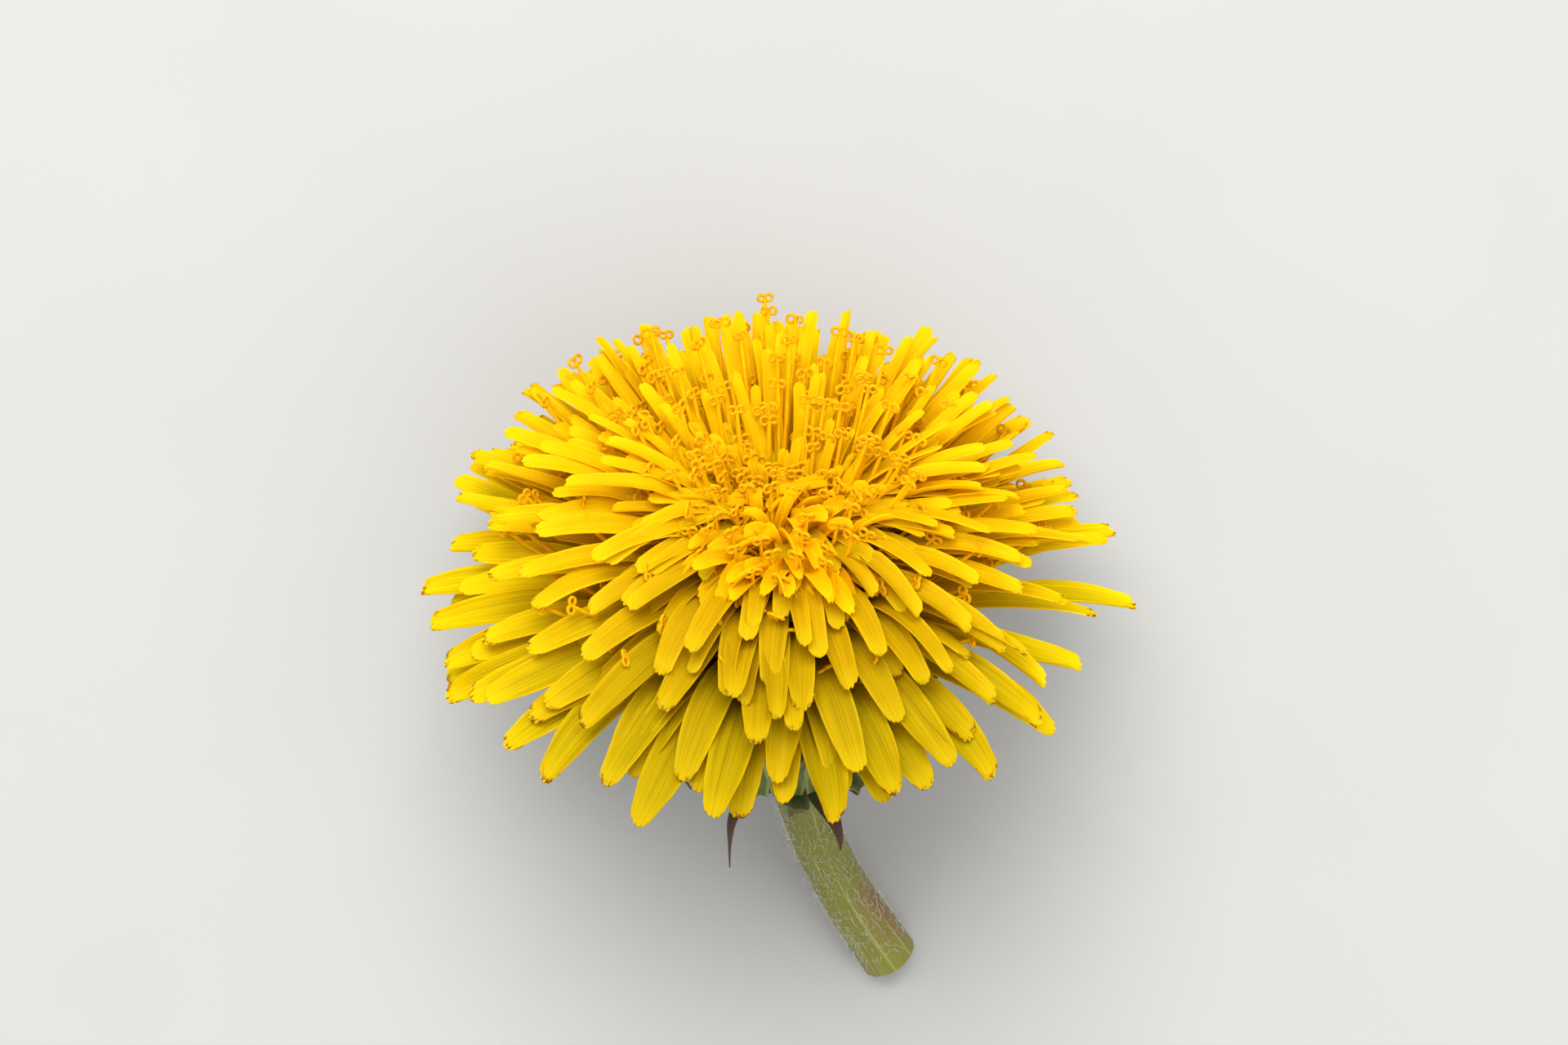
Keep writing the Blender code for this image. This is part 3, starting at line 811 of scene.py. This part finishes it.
class Nodes:
    """A material under construction. Its methods add nodes and give back their output."""

    def __init__(self, name):
        self.material = bpy.data.materials.new(name)
        self.material.use_nodes = True
        self.tree = self.material.node_tree
        self.tree.nodes.clear()

    def add(self, kind, inputs, output=0, **settings):
        node = self.tree.nodes.new("ShaderNode" + kind)
        for key, value in settings.items():
            setattr(node, key, value)
        for key, value in inputs.items():
            if isinstance(value, bpy.types.NodeSocket):
                self.tree.links.new(value, node.inputs[key])
            elif node.inputs[key].type == "RGBA":
                node.inputs[key].default_value = (*value, 1)
            else:
                node.inputs[key].default_value = value
        return node.outputs[output]

    def math(self, operation, a, b=0.0):
        return self.add("Math", {0: a, 1: b}, operation=operation)

    def times(self, a, b):
        return self.math("MULTIPLY", a, b)

    def value(self, name):
        """The number that the mesh holds under this name."""
        return self.add("Attribute", {}, output=2, attribute_name=name)

    def uv(self):
        split = self.tree.nodes.new("ShaderNodeSeparateXYZ")
        self.tree.links.new(self.add("UVMap", {}, uv_map="UVMap"), split.inputs[0])
        return split.outputs[0], split.outputs[1]

    def side_edge(self, u):
        """How far a place is from the nearer side of the UV map."""
        return self.math("MINIMUM", u, self.math("SUBTRACT", 1.0, u))

    def fade(self, value, low, high, start=0.0, end=1.0):
        inputs = {"Value": value, "From Min": low, "From Max": high, "To Min": start, "To Max": end}
        return self.add("MapRange", inputs, interpolation_type="SMOOTHSTEP")

    def blend(self, share, a, b, how="MIX"):
        return self.add("Mix", {0: share, 6: a, 7: b}, output=2, data_type="RGBA", blend_type=how)

    def noise(self, x, y, z, detail=2.0):
        vector = self.add("CombineXYZ", {0: x, 1: y, 2: z})
        return self.add("TexNoise", {"Vector": vector, "Scale": 1.0, "Detail": detail})

    def room_noise(self, scale, detail):
        place = self.add("TexCoord", {}, output=3)
        return self.add("TexNoise", {"Vector": place, "Scale": scale, "Detail": detail})

    def bump(self, height, strength, distance):
        inputs = {"Height": height, "Strength": strength, "Distance": distance * MM}
        return self.add("Bump", inputs)

    def finish(
        self, colour, roughness, normal=None, glow=0.0, through=None, specular=0.3, sheen=0.0
    ):
        """The material. Glow is the share of light that passes, in the colour through."""
        inputs = {"Base Color": colour, "Roughness": roughness}
        inputs["Specular IOR Level"] = specular
        inputs["Sheen Weight"] = sheen
        passing = {"Color": through or colour}
        if normal:
            inputs["Normal"] = passing["Normal"] = normal
        shader = self.add("BsdfPrincipled", inputs)
        if glow:
            passed = self.add("BsdfTranslucent", passing)
            shader = self.add("MixShader", {0: glow, 1: shader, 2: passed})
        out = self.tree.nodes.new("ShaderNodeOutputMaterial")
        self.tree.links.new(shader, out.inputs["Surface"])
        return self.material


OUTER_YELLOW = (0.88, 0.73, 0.001)
MIDDLE_YELLOW = (0.95, 0.66, 0.001)
INNER_YELLOW = (0.97, 0.58, 0.001)
DEEP_ORANGE = (0.97, 0.57, 0.001)
# Painted shade at the base of the ligules in front
BASE_SHADE_BROWN = (0.82, 0.34, 0.001)
BASE_SHADE_OLIVE = (0.50, 0.37, 0.002)
GROOVE_OLIVE = (0.36, 0.24, 0.003)
STRIPE_OLIVE = (0.55, 0.42, 0.002)
# Painted highlight on the rims and tips of the ligules
RIM_HIGHLIGHT = (0.98, 0.80, 0.004)
TOOTH_BROWN = (0.34, 0.09, 0.008)
# Painted shade that darkens the ligules in front
FRONT_SHADE = (0.68, 0.62, 1.0)
UNDER_OLIVE = (0.33, 0.30, 0.03)

TUBE_COLOURS = ((0.62, 0.52, 0.10), (0.80, 0.62, 0.06))
STYLE_COLOURS = ((0.88, 0.49, 0.001), (0.94, 0.57, 0.001))
STIGMA_COLOURS = ((0.66, 0.32, 0.001), (0.80, 0.43, 0.002))
ANTHER_COLOURS = ((0.50, 0.16, 0.001), (0.88, 0.48, 0.002))
HAIR_COLOURS = ((0.52, 0.53, 0.42), (0.68, 0.68, 0.58))
FLOOR_COLOURS = ((0.33, 0.33, 0.325), (0.35, 0.35, 0.345))

BRACT_GREEN = (0.058, 0.088, 0.007)
OUTER_BRACT_GREEN = (0.078, 0.11, 0.018)
BRACT_PALE = (0.14, 0.18, 0.04)
BRACT_MARGIN = (0.25, 0.27, 0.085)
BRACT_TIP = (0.075, 0.027, 0.014)

SCAPE_OLIVE = (0.15, 0.152, 0.010)
SCAPE_BROWN = (0.17, 0.085, 0.024)
SCAPE_PALE = (0.30, 0.30, 0.09)
CUT_PALE = (0.50, 0.55, 0.33)


def ligule_look():
    """Yellow with fine lines, more orange inwards, browned at tips, with painted shade in front and
    painted rim highlights.
    """
    n = Nodes("ligule")
    u, v = n.uv()
    rank, chance, under, front = (n.value(key) for key in ("rank", "chance", "under", "front"))
    shift = n.times(chance, 40.0)
    edge = n.side_edge(u)

    # From orange in the middle of the head to lemon at its rim, and deeper orange towards the base:
    # partly the ligules' own tint, partly painted shade where they overlap
    colour = n.blend(n.fade(rank, 0.2, 0.42), INNER_YELLOW, MIDDLE_YELLOW)
    colour = n.blend(n.fade(rank, 0.72, 1.0), colour, OUTER_YELLOW)
    colour = n.blend(n.times(n.fade(v, 0.8, 0.0), 0.45), colour, DEEP_ORANGE)
    # Painted shade at the base of the ligules in front, where those above overlap them: brown
    # inwards, olive at the rim
    base = n.blend(n.fade(rank, 0.6, 0.9), BASE_SHADE_BROWN, BASE_SHADE_OLIVE)
    colour = n.blend(n.times(n.fade(v, 0.95, 0.1), front), colour, base)

    # Fine lines and broader stripes along the ligule
    lines = n.noise(n.times(u, 34.0), n.times(v, 1.2), shift)
    strength = n.fade(rank, 0.4, 0.95, 0.2, 0.4)
    colour = n.blend(n.times(n.fade(lines, 0.42, 0.68), strength), colour, GROOVE_OLIVE)
    stripes = n.noise(n.times(u, 9.0), n.times(v, 0.7), n.math("ADD", shift, 3.0), detail=1.0)
    stripes = n.times(n.fade(stripes, 0.44, 0.6), n.fade(rank, 0.55, 0.95, 0.0, 0.4))
    colour = n.blend(n.times(stripes, n.fade(v, 1.0, 0.75)), colour, STRIPE_OLIVE)

    # Four grooves, broken here and there, that end between the teeth of a broad ligule
    fifth = n.math("FRACT", n.math("ADD", n.times(u, 5.0), 0.5))
    groove = n.fade(n.math("ABSOLUTE", n.math("SUBTRACT", fifth, 0.5)), 0.1, 0.0)
    groove = n.times(groove, n.fade(edge, 0.08, 0.16))
    patch = n.noise(n.times(u, 9.0), n.times(v, 3.0), n.math("ADD", shift, 7.0))
    groove = n.times(groove, n.fade(patch, 0.35, 0.6))
    depth = n.times(groove, n.fade(rank, 0.3, 0.95, 0.02, 0.2))
    colour = n.blend(depth, colour, GROOVE_OLIVE)

    # Painted highlights on the rims and at the tip, stronger in front, and an olive band on the
    # underside of the outer ligules
    rim = n.math("MAXIMUM", n.fade(edge, 0.1, 0.0), n.fade(v, 0.9, 1.0))
    colour = n.blend(n.times(rim, n.fade(front, 0.0, 0.5, 0.4, 0.85)), colour, RIM_HIGHLIGHT)
    band = n.times(n.fade(edge, 0.16, 0.34), n.fade(rank, 0.8, 0.97))
    band = n.times(n.times(band, under), n.fade(v, 1.0, 0.8, 0.0, 0.75))
    colour = n.blend(band, colour, UNDER_OLIVE)

    # Brown spots on some of the teeth
    spots = n.noise(n.times(u, 7.0), n.times(v, 60.0), n.math("ADD", shift, 19.0))
    tooth = n.times(n.fade(v, 0.98, 1.0), n.fade(spots, 0.5, 0.57))
    tooth = n.times(tooth, n.times(n.fade(rank, 0.6, 0.9), n.fade(chance, 0.1, 0.6)))
    colour = n.blend(tooth, colour, TOOTH_BROWN)
    # Painted shade over the ligules in front, by the front value
    colour = n.blend(front, colour, FRONT_SHADE, "MULTIPLY")
    normal = n.bump(n.math("SUBTRACT", lines, n.times(groove, 1.2)), 0.4, 0.08)
    through = n.blend(0.12, colour, DEEP_ORANGE)
    return n.finish(colour, 0.62, normal, glow=0.54, through=through, specular=0.05)


def simple_look(name, colours, scale, roughness, glow, depth=0.0, streaks=0.0):
    """A two-coloured finish, mottled or streaked along the piece, with a fine bump."""
    n = Nodes(name)
    if streaks:
        u, v = n.uv()
        shift = n.times(n.value("chance"), 30.0)
        pattern = n.noise(n.times(u, streaks), n.times(v, scale), shift)
    else:
        pattern = n.room_noise(scale, 4.0)
    colour = n.blend(n.fade(pattern, 0.35, 0.65), *colours)
    normal = n.bump(pattern, 0.5, depth) if depth else None
    return n.finish(colour, roughness, normal, glow=glow, specular=0.06)


def bract_look(name, green, bloom, tip_start):
    """Ribbed green under a pale bloom, with pale margins and a brown tip."""
    n = Nodes(name)
    u, v = n.uv()
    ribs = n.noise(n.times(u, 14.0), n.times(v, 1.2), n.times(n.value("chance"), 40.0), detail=3.0)
    colour = n.blend(n.times(n.fade(ribs, 0.35, 0.65), 0.6), green, BRACT_PALE)
    powder = n.room_noise(900.0, 5.0)
    colour = n.blend(n.times(n.fade(powder, 0.4, 0.7), bloom), colour, BRACT_MARGIN)
    colour = n.blend(n.times(n.fade(n.side_edge(u), 0.14, 0.02), 0.8), colour, BRACT_MARGIN)
    tip = n.fade(n.math("ADD", v, n.times(ribs, 0.15)), tip_start, 1.02)
    tip = n.math("MAXIMUM", n.times(tip, 0.85), n.value("dry"))
    colour = n.blend(tip, colour, BRACT_TIP)
    normal = n.bump(n.math("ADD", ribs, n.times(powder, 0.5)), 0.6, 0.2)
    return n.finish(colour, 0.62, normal, glow=0.1, specular=0.3, sheen=0.1)


def scape_look():
    """Olive green with pale lines and a brown blush, and pale where it is cut."""
    n = Nodes("scape")
    u, v = n.uv()
    lines = n.noise(n.times(u, 34.0), n.times(v, 2.2), 3.0, detail=4.0)
    blush = n.noise(n.times(u, 3.0), n.times(v, 2.6), 8.0)
    colour = n.blend(n.fade(blush, 0.5, 0.72), SCAPE_OLIVE, SCAPE_BROWN)
    colour = n.blend(n.times(n.fade(lines, 0.5, 0.72), 0.75), colour, SCAPE_PALE)
    speck = n.room_noise(2600.0, 3.0)
    colour = n.blend(n.times(n.fade(speck, 0.62, 0.75), 0.3), colour, SCAPE_PALE)
    face = n.blend(n.fade(speck, 0.3, 0.6), CUT_PALE, SCAPE_PALE)
    colour = n.blend(n.value("cut"), colour, face)
    normal = n.bump(n.math("ADD", lines, n.times(speck, 0.4)), 0.5, 0.2)
    return n.finish(colour, 0.5, normal, glow=0.06, specular=0.4, sheen=0.12)


def add_flower_head():
    """All that the receptacle carries: ligules, styles, anther tubes and floret tubes."""
    outer, inner, young, tubes = Sheaf(), Sheaf(), Sheaf(), Sheaf()
    rods, curls, anthers = Sheaf(), Sheaf(), Sheaf()
    chance = random.Random(SEED + 1)
    for floret in all_florets():
        if floret.rank > mix(FIRST_RANK, floret.front):
            add_ligule(outer if floret.rank > BROAD_RANK else inner, floret, chance)
            if chance.random() < STYLES_OUT:
                add_style(rods, curls, anthers, floret, chance)
        add_floret_tube(tubes, floret)
    chance = random.Random(YOUNG_SEED)
    for k in range(YOUNG_FLORETS):
        add_young_floret(young, k, chance)
    for k in range(YOUNG_STYLES):
        add_young_style(rods, curls, k, chance)
    yellow = ligule_look()
    outer.build("outer_ligules", yellow, "ligule", ["ray_florets"])
    inner.build("inner_ligules", yellow, "ligule", ["ray_florets"])
    young.build("young_ligules", yellow, "ligule")
    pale = simple_look("floret_tube", TUBE_COLOURS, 3.0, 0.5, glow=0.25, depth=0.05, streaks=6.0)
    tubes.build("floret_tubes", pale, "ligule")
    orange = simple_look("style", STYLE_COLOURS, 2500.0, 0.7, glow=0.35, depth=0.06)
    rods.build("styles", orange, "ligule")
    deep = simple_look("stigma", STIGMA_COLOURS, 4000.0, 0.8, glow=0.25, depth=0.08)
    curls.build("stigmas", deep, "ligule")
    striped = simple_look("anther", ANTHER_COLOURS, 0.8, 0.6, glow=0.1, depth=0.06, streaks=9.0)
    anthers.build("anther_tubes", striped, "ligule")


def add_receptacle(rim, clear, look):
    """The cup round the floret tubes, this far from them all round."""
    steps = np.linspace(0, CUP_END, CUP_STEPS)
    inside = beside(rim, clear, steps)
    outside = beside(rim, clear + CUP_WALL * CUP_SHARE, steps)
    inside[0, 1] = CUP_FLOOR
    profile = [(0, RECEPTACLE_UNDERSIDE), (UNDERSIDE_RADIUS, RECEPTACLE_UNDERSIDE)]
    profile += [*outside, *inside[::-1], (0, CUP_FLOOR)]
    points, uv, faces = turned(profile, CUP_SIDES)
    uv[:, 0] = mix(CUP_MAP, uv[:, 0])
    cup = Sheaf()
    cup.add(points, uv, faces, chance=0.4, dry=0.0)
    cup.build("receptacle", look, "bract", ["involucre"])


def add_inner_bracts(rim, clear, look, chance):
    inner = Sheaf()
    for k in range(2 * INNER_BRACTS):
        azimuth = math.tau * (k / 2 + BRACT_START) / INNER_BRACTS
        apart, narrower, shorter = INNER_BRACT_ROWS[k % 2]
        end = INNER_BRACT_END * chance.uniform(*INNER_BRACT_CHANCE) - shorter
        t = np.linspace(0.0, end, INNER_BRACT_POINTS)
        route = beside(rim, clear + CUP_WALL * apart, t)
        route[:, 1] -= ramp(t, INNER_BRACT_LATE) * chance.uniform(*INNER_BRACT_DROP)
        width = INNER_BRACT_WIDTH * narrower
        add_bract(inner, route, azimuth, width, chance, **INNER_BRACT)
    inner.build("inner_bracts", look, "bract", ["involucre"])


def add_outer_bracts(look, chance):
    outer = Sheaf()
    for k in range(OUTER_BRACTS):
        azimuth = math.tau * (k + BRACT_START) / OUTER_BRACTS
        azimuth += chance.uniform(-OUTER_BRACT_TURN, OUTER_BRACT_TURN)
        shift = np.array([chance.uniform(*limits) for limits in OUTER_BRACT_SHIFT])
        twist = chance.uniform(*OUTER_BRACT_TWIST)
        width = OUTER_BRACT_WIDTH
        dry = k in DRY_BRACTS
        controls = np.array(OUTER_BRACT_PATH)
        controls[2] += shift
        controls[3] += shift * OUTER_BRACT_TIP_SHIFT
        if k in TUCKED_BRACTS:
            controls[3] += TUCK
        if dry:
            controls[3] += (DRY_REACH, -DRY_BRACTS[k])
            width *= DRY_WIDTH
            twist = DRY_TWIST
        route = bezier(controls, np.linspace(0, 1, OUTER_BRACT_POINTS))
        add_bract(outer, route, azimuth, width, chance, twist=twist, dry=float(dry), **OUTER_BRACT)
    outer.build("outer_bracts", look, "bract", ["involucre"])


def add_involucre():
    """The receptacle, the upright bracts round it and the paler ones that bend back."""
    chance = random.Random(SEED + 2)
    rim = floret_controls(1, math.pi)
    clear = SOLID_LIGULE / 2 + GAP
    green = bract_look("inner_bract", BRACT_GREEN, bloom=0.25, tip_start=0.8)
    add_receptacle(rim, clear, green)
    add_inner_bracts(rim, clear, green, chance)
    add_outer_bracts(bract_look("outer_bract", OUTER_BRACT_GREEN, bloom=0.4, tip_start=0.5), chance)


def add_scape():
    """The hollow stem, ribbed along its length, with a plain cut end."""
    route = smooth_line(SCAPE_ROUTE, SCAPE_STEPS)
    line = np.stack((route[:, 0], np.zeros(len(route)), route[:, 1]), -1)
    radii = route[:, 2]
    ahead = unit(np.gradient(line, axis=0))
    across = np.array((0, 1.0, 0))
    angles = np.arange(SCAPE_SIDES) / SCAPE_SIDES * math.tau
    ribs = 1 + RIB_SHARE * np.cos(angles * SCAPE_RIBS)
    ribs = ribs + LOBE_SHARE * np.cos(angles * SCAPE_LOBES + 1)

    def ring(k, share):
        other = np.cross(ahead[k], across)
        spokes = np.cos(angles)[:, None] * across + np.sin(angles)[:, None] * other
        shape = ribs if share > RIBBED_SHARE else np.ones(SCAPE_SIDES)
        return line[k] + spokes * (radii[k] * share * shape)[:, None]

    count = len(line)
    rings = [ring(k, 1.0) for k in range(count)]
    for share in CUT_RINGS:
        rings.append(ring(count - 1, share) + ahead[-1] * CUT_UNEVENNESS * math.sin(share * 20))
    rings += [ring(k, BORE_SHARE) for k in range(count - 2, count // 2, -2)]
    rings = np.array(rings)
    rings[:count, :, 2] = np.minimum(rings[:count, :, 2], SCAPE_TOP)
    top = line[0] * (1, 1, 0) + UP * SCAPE_TOP
    points, uv, faces = round_body(above_floor(rings, 0.0), top, rings[-1].mean(0))
    cut = np.repeat((0.0, 1.0), (count * SCAPE_SIDES, (len(rings) - count) * SCAPE_SIDES))
    stem = Sheaf()
    stem.add(points, uv, faces, cut=np.concatenate((cut, (0.0, 1.0))))
    stem.build("stem", scape_look(), "scape", ["scape"])
    add_stem_hairs(line, ahead, across, radii)


def add_stem_hairs(line, ahead, across, radii):
    """Fine hairs, bent up or down the stem and to either side."""
    chance = random.Random(SEED + 3)
    hairs = Sheaf()
    thickness = np.linspace(*HAIR_RADIUS, HAIR_POINTS)
    for _ in range(HAIRS):
        k = chance.randrange(1, len(line) - 2)
        angle = chance.uniform(0, math.tau)
        out = across * math.cos(angle) + np.cross(ahead[k], across) * math.sin(angle)
        root = line[k] + out * radii[k] * HAIR_ROOT
        drift = ahead[k] * chance.uniform(-1, 1)
        drift = drift + np.cross(out, ahead[k]) * chance.uniform(-HAIR_SWAY, HAIR_SWAY)
        length = mix(HAIR_LENGTH, chance.random() ** 2)
        bent = root + (out * chance.uniform(*HAIR_BEND_OUT) + drift * HAIR_DRIFT[0]) * length
        tip = root + (out * chance.uniform(*HAIR_TIP_OUT) + drift * HAIR_DRIFT[1]) * length
        controls = (root, root + out * length * HAIR_STRAIGHT, bent, tip)
        hair = above_floor(bezier(controls, np.linspace(0, 1, HAIR_POINTS)), HAIR_CLEARANCE)
        hairs.add(*tube(hair, thickness, HAIR_SIDES))
    white = simple_look("stem_hair", HAIR_COLOURS, 800.0, 0.6, glow=0.3)
    hairs.build("stem_hairs", white, "scape")


def add_floor():
    bpy.ops.mesh.primitive_plane_add(size=3.0, location=(0, 0, 0))
    floor = bpy.context.object
    floor.name = "floor"
    n = Nodes("pale_floor")
    colour = n.blend(n.room_noise(60.0, 3.0), *FLOOR_COLOURS)
    floor.data.materials.append(n.finish(colour, 0.8))


# The studio's round lights: their place, size, power and colour, and the place that they face
LIGHTS = {
    "key": ((-0.06, 0.30, 0.58), 0.50, 6.4, (1.0, 0.985, 0.95)),
    "fill": ((0.30, -0.20, 0.60), 0.70, 1.6, (0.97, 0.985, 1.0)),
}
LIGHT_AIM = Vector((0, 0.004, 0.012))
SURROUNDINGS = 1.0


def add_lights():
    for name, (place, size, power, colour) in LIGHTS.items():
        data = bpy.data.lights.new(name, "AREA")
        data.shape = "DISK"
        data.size = size
        data.energy = power
        data.color = colour
        light = bpy.data.objects.new(name, data)
        light.location = place
        light.rotation_euler = (LIGHT_AIM - Vector(place)).to_track_quat("-Z", "Y").to_euler()
        bpy.context.scene.collection.objects.link(light)
    world = bpy.data.worlds.new("studio")
    world.use_nodes = True
    background = world.node_tree.nodes["Background"]
    background.inputs["Color"].default_value = (1, 1, 1, 1)
    background.inputs["Strength"].default_value = SURROUNDINGS
    bpy.context.scene.world = world


# The camera looks straight down. The head's middle lies this far from the frame's, and the frame
# is this wide where the head is.
FRAME_WIDTH = 91.43
HEAD_IN_FRAME = (-0.205, -4.38)
CAMERA_HEIGHT = 350.0
SENSOR = 36.0


def add_camera():
    data = bpy.data.cameras.new("camera")
    data.sensor_width = SENSOR
    data.lens = SENSOR * CAMERA_HEIGHT / FRAME_WIDTH
    data.clip_start = 0.01
    camera = bpy.data.objects.new("camera", data)
    place = HEAD_PLACE + (-HEAD_IN_FRAME[0], -HEAD_IN_FRAME[1], CAMERA_HEIGHT)
    camera.location = place * MM
    bpy.context.scene.collection.objects.link(camera)
    bpy.context.scene.camera = camera


add_camera()
add_floor()
add_lights()
add_flower_head()
add_involucre()
add_scape()
bpy.context.scene.view_settings.view_transform = "Standard"
